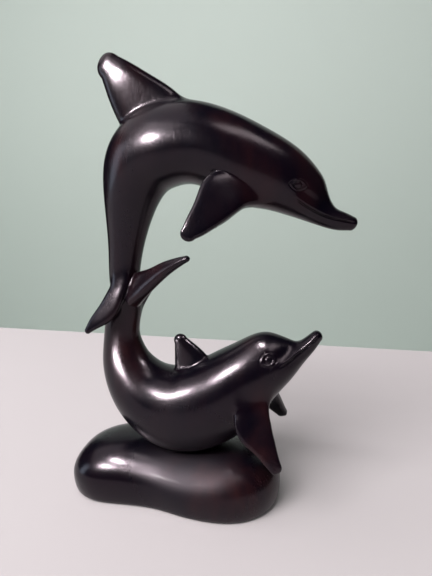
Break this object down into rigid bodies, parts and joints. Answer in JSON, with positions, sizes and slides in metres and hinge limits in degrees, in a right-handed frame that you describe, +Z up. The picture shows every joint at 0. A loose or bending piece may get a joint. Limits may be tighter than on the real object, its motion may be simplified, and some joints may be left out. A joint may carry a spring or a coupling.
{
  "type": "dolphin sculpture",
  "caption": "Carved hardwood ornament: two leaping dolphins, one above the other, rising from a rounded rock that it stands on.",
  "frame": {"origin": "middle of the bounding box, on the plane of the flat underside", "axes": "+Z up, X along the rock with both heads towards +X, -Y towards the side that the picture shows"},
  "size_m": [0.199, 0.0816, 0.3038],
  "materials": {
    "dark_wood": "stained almost black and polished, semi-gloss"
  },
  "bodies": {
    "root": {"dolphin_sculpture": "dark_wood"}
  },
  "joints": []
}
